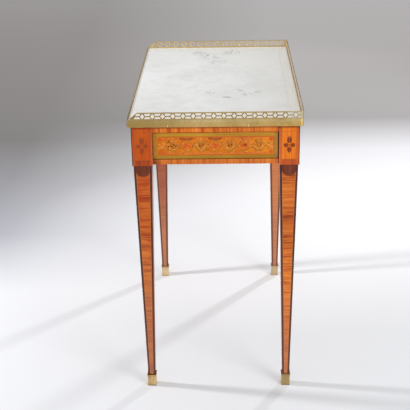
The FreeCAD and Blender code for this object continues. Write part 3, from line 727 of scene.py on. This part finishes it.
# A sprig: nested curved leaves on both sides of a stem, small blossoms among them and dark buds
def sprig(u, v, buds):
    rows = {"stem": [(u, v - 15, 90, 29, 0.6, 0.03, 1)], "olive": [], "pale": [], "rust": [], "dark": []}
    for height, heading, length, width, shadeName in sprigLook["nest"]:
        for turn in (-1, 1):
            angle = heading + chance.uniform(-6, 6)
            rows[shadeName].append((u + turn * 0.8, v + height, angle if turn > 0 else 180 - angle, length, width,
                                    turn * chance.uniform(0.25, 0.4), 0.9))
    between = 360 / sprigLook["petals"]
    for du, dv in sprigLook["blossoms"]:
        for angle in np.arange(sprigLook["petals"]) * between + chance.uniform(0, between):
            rows["pale"].append((u + du + 0.5 * np.cos(np.radians(angle)), v + dv + 0.5 * np.sin(np.radians(angle)),
                                 angle, *sprigLook["petal"], 0, 1.2))
        rows["rust"].append((u + du - 0.8, v + dv, 0, 1.6, 0.8, 0, 1))
    for du, dv, heading in sprigLook["buds"][:buds]:
        rows["dark"].append((u + du, v + dv, heading + chance.uniform(-20, 20), *sprigLook["bud"], 0, 1.1))
    return rows


fanLook = {"spread": 76, "petals": 11, "length": 8.0, "width": 2.2}


# A fan of petals that hangs from the upper edge, the outer ones longer
def fan(u, v, shadeName):
    angles = np.linspace(-fanLook["spread"], fanLook["spread"], fanLook["petals"])
    return {shadeName: [(u + 0.1 * angle, v, -90 + angle, fanLook["length"] + abs(angle) / 22, fanLook["width"],
                         0, 1.1) for angle in angles]}


# Pairs of small leaves along a line of points, leaning along its run; the shades follow in turn
def foliage(u, v, shades, lean, length, width):
    run = np.degrees(np.arctan2(np.gradient(v), np.gradient(u)))
    rows = {}
    for i in range(len(u)):
        for turn in (-1, 1):
            shadeName = shades[(2 * i + (turn > 0)) % len(shades)]
            rows.setdefault(shadeName, []).append((u[i], v[i], run[i] + turn * (lean + chance.uniform(-10, 10)),
                                                   length * chance.uniform(0.8, 1.15), width, -0.25 * turn, 0.9))
    return rows


# Height of a vine above the panel's middle: a cosine with one wave for each rosette
def vineWave(u):
    return panel["vine"] * np.cos(2 * np.pi * u / panel["pitch"])


# Rows of leaves and petals of one panel, by shade: rosettes under fans, sprigs between them, two crossing vines,
# husks along both edges, and branches and corner leaves at the ends
def panelDesign(halfLength, low, high):
    design, pitch = {}, panel["pitch"]
    middle, top, bottom = (low + high) / 2, high - panel["string"], low + panel["string"]
    reach = halfLength - panel["string"]

    def put(rows):
        for shadeName, group in rows.items():
            design.setdefault(shadeName, []).extend(group)

    count = int((halfLength - pitch / 2) // pitch)
    for i in range(-count, count + 1):
        deep = i == count  # the last rosette of a panel is of darker wood
        put(rosette(i * pitch, middle + 0.5, ("rose", "red", "red") if deep else ("red", "rose", "red"),
                    ("rust",) if deep else ("red",)))
        if deep:
            put({"dark": [(i * pitch + 2, middle + 0.5, 30, 5.0, 2.2, 0, 1)]})
        put(fan(i * pitch - 1, top, ("rust", "rust", "rose")[(i + 1) % 3]))
    for i in range(-count - 1, count + 1):
        put(sprig((i + 0.5) * pitch, middle, 6 if i == -count - 1 else 2 if i < count else 0))
    vineU = np.arange(-reach + panel["vineFrom"], reach - panel["endGap"], panel["leafStep"])
    for turn in (-1, 1):
        put(foliage(vineU, middle + turn * vineWave(vineU), ("olive", "pale", "stem", "rose", "olive"),
                    lean=42, length=7.0, width=1.4))
    husks = np.arange(-reach + panel["huskFrom"], reach - panel["endGap"], panel["huskStep"])
    lowRow, highRow = np.full_like(husks, bottom + 2.6), np.full_like(husks, top - 2.4)
    put(foliage(husks, lowRow, ("rose", "rose", "pale", "red"), lean=14, length=8.0, width=1.6))
    put(foliage(husks, highRow, ("rose", "pale", "rose"), lean=14, length=7.0, width=1.3))
    for turn in (-1, 1):
        crossing = turn * (reach - panel["branchFrom"])
        put({"pale": [(crossing, middle, heading, panel["branch"], 1.2, 0.12, 0.9)
                      for heading in (38, 142, 218, 322)]})
        for edge in (-1, 1):
            corner = turn * (reach - 1), middle + edge * (top - middle - 2)
            inward = 90 + turn * 90
            put({"red": [(*corner, inward + edge * turn * angle, panel["cornerLeaf"], 2.0, 0, 0.8)
                         for angle in (12, 38, 64)]})
    return design


lifts = {"stem": 0.12, "olive": 0.16, "rose": 0.18, "pale": 0.2, "red": 0.22, "rust": 0.26, "dark": 0.32}
woodwork = {"drawer": {}, "table": {}}
for side, (nodeName, body) in panelNodes.items():
    lowest, highest = (np.array(corner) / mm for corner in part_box(nodeName))
    right, out = sideViews[side]
    halfLength, distance = highest @ abs(right), max(lowest @ out, highest @ out)
    bottom, top = lowest[2], highest[2]
    rowsByShade = panelDesign(halfLength, bottom, top)
    design = {key: [leaves(rows, lifts[key])] for key, rows in rowsByShade.items()}
    vineEnd = halfLength - panel["endGap"]
    vineU = np.linspace(-vineEnd, vineEnd, int(halfLength))  # a point about every 2 mm
    for turn in (-1, 1):
        vineV = (bottom + top) / 2 + turn * vineWave(vineU)
        design["stem"].append(stem(vineU, vineV, panel["vineHalf"], lifts["stem"]))
    design["string"] = [borderLine(halfLength, bottom, top, panel["string"], panel["stringLift"], sunk)]
    for key, shapes in design.items():
        placed = [(onSide(side, (0, 0, 0), points + np.array([0, 0, distance])), faces)
                  for points, faces in shapes]
        woodwork[body].setdefault(key, []).extend(placed)
panelWoods = {**petalWood, "string": panelString}
for body, design in woodwork.items():
    for key, shapes in design.items():
        addPiece(body + "_marquetry_" + key, shapes, panelWoods[key], body)
print("marquetry:", sum(len(design) for design in woodwork.values()), "pieces")


studio = {
    "floorHalf": 150.0, "floorCells": 4, "fadeY": (-0.5, 5.0), "fadeX": (-0.85, 0.3),  # metres
    "left": [(0.13, "#E8EAEE"), (0.21, "#AEB0B8"), (0.4, "#8E8B8A"), (0.58, "#A6A2A0"), (0.94, "#C2BEBC")],
    "right": [(0.08, "#E4E7EA"), (0.2, "#FAFAFC"), (0.28, "#F8F8FA"), (0.37, "#E6E6E9"), (0.45, "#B0ADAD"),
              (0.66, "#DAD6D4"), (0.93, "#E2DEDD")],  # by the share of the way along fadeY
    "pale": {"stains": [((0, 650, 0), 750, "#F8FAFD", 0.5)]},  # painted light: whiter behind the far legs, lifting the table's shade off the floor
    "skyFrom": (0.45, -0.87, 0.2), "skyCosine": (-0.1, 1.0), "sky": (0.46, 1.02),  # brightest direction, strengths
    "aim": (0, 0, 0.4),
    "lamps": {"key_far_right": ((1.434, 1.932, 1.6), 0.14, 20), "key_left": ((-2.115, 0.0, 1.6), 0.2, 30),
              "front_fill": ((2.2, -2.7, 1.4), 1.8, 52)},  # place and size in metres, power in watts
}

# Floor: a level sheet of matt paper whose colour holds painted light: white round the table, grey far behind it and
# greyer on the left, as the studio light falls off
floorMaterial, tree = newMaterial("paper sweep, matt")
place = addNode(tree, "ShaderNodeTexCoord")
axes = addNode(tree, "ShaderNodeSeparateXYZ", None, {0: place.outputs["Object"]})
behind, aside = (
    addNode(tree, "ShaderNodeMapRange", dict(zip((1, 2), studio["fade" + axis])), {0: axes.outputs[axis]})
    for axis in "YX")
leftShade = addNode(tree, "ShaderNodeValToRGB", {"stops": studio["left"]}, {0: behind.outputs[0]})
rightShade = addNode(tree, "ShaderNodeValToRGB", {"stops": studio["right"]}, {0: behind.outputs[0]})
shade = addNode(tree, "ShaderNodeMix", {"data_type": "RGBA"},
                {0: aside.outputs[0], 6: leftShade.outputs[0], 7: rightShade.outputs[0]})
paper = addNode(tree, "ShaderNodeBsdfPrincipled", {"Roughness": 0.9, "Specular IOR Level": 0.1},
                {"Base Color": agedAndPaintedLight(tree, place, shade.outputs[2], studio["pale"])})
addNode(tree, "ShaderNodeOutputMaterial", None, {0: paper.outputs[0]})
perSide = studio["floorCells"] + 1
reach = np.linspace(-studio["floorHalf"], studio["floorHalf"], perSide)
gridX, gridY = np.meshgrid(reach, reach, indexing="ij")
cells = gridCells(np.arange(perSide ** 2).reshape(perSide, perSide))
sheet = bpy.data.meshes.new("floor")
sheet.from_pydata(np.stack([gridX, gridY, np.zeros_like(gridX)], -1).reshape(-1, 3), [], cells.tolist())
sheet.materials.append(floorMaterial)
floor = bpy.data.objects.new("floor", sheet)
bpy.context.scene.collection.objects.link(floor)

# Sky: a soft white glow, brighter from the camera's right
world = bpy.data.worlds.new("studio")
world.use_nodes = True
world.node_tree.nodes.clear()
facing = addNode(world.node_tree, "ShaderNodeTexCoord")
toward = addNode(world.node_tree, "ShaderNodeVectorMath", {"operation": "DOT_PRODUCT", 1: studio["skyFrom"]},
                 {0: facing.outputs["Generated"]})
glow = addNode(world.node_tree, "ShaderNodeMapRange", dict(zip((1, 2, 3, 4), studio["skyCosine"] + studio["sky"])),
               {0: toward.outputs["Value"]})
sky = addNode(world.node_tree, "ShaderNodeBackground", {"Color": colour("#F4F4F6")}, {"Strength": glow.outputs[0]})
addNode(world.node_tree, "ShaderNodeOutputWorld", None, {0: sky.outputs[0]})
bpy.context.scene.world = world


# Matrix of an object at a place, from its three axes
def standing(right, up, back, place):
    return Matrix(np.stack([right, up, back, place], -1).tolist() + [[0, 0, 0, 1]])


# A round lamp at a place, turned so that it shines at the aim
def addLamp(name, place, aim, size, power):
    light = bpy.data.lights.new(name, "AREA")
    light.shape = "DISK"
    light.size = size
    light.energy = power
    lamp = bpy.data.objects.new(name, light)
    bpy.context.scene.collection.objects.link(lamp)
    back = np.array(place, float) - np.array(aim, float)
    back /= np.linalg.norm(back)
    side = np.cross((0, 0, 1), back)
    side /= np.linalg.norm(side)
    lamp.matrix_world = standing(side, np.cross(back, side), back, place)


for name, (place, size, power) in studio["lamps"].items():
    addLamp(name, place, studio["aim"], size, power)

# Camera: found by fitting the corners of the top, the heads and the feet to the photo
view = {"place": (0.03057, -2.6734, 1.4756), "pitch": 22.36, "yaw": -1.43, "roll": -1.05,  # metres, degrees
        "focal": 1032.586, "frame": 410, "sensor": 36.0, "farthest": 60.0}  # two in pixels, then mm and metres
pitch, yaw, roll = np.radians([view["pitch"], view["yaw"], view["roll"]])
ahead = np.array([np.sin(yaw) * np.cos(pitch), np.cos(yaw) * np.cos(pitch), -np.sin(pitch)])
level = np.array([np.cos(yaw), -np.sin(yaw), 0.0])
above = np.cross(level, ahead)
across = np.cos(roll) * level + np.sin(roll) * above
upward = -np.sin(roll) * level + np.cos(roll) * above
lens = bpy.data.cameras.new("photo_camera")
lens.sensor_width = view["sensor"]
lens.lens = view["sensor"] * view["focal"] / view["frame"]  # the same angle in mm as in pixels
lens.clip_end = view["farthest"]
camera = bpy.data.objects.new("photo_camera", lens)
bpy.context.scene.collection.objects.link(camera)
camera.matrix_world = standing(across, upward, -ahead, view["place"])
bpy.context.scene.camera = camera
bpy.context.scene.view_settings.view_transform = "Standard"
print("stage: floor,", len(studio["lamps"]), "lamps and the camera")
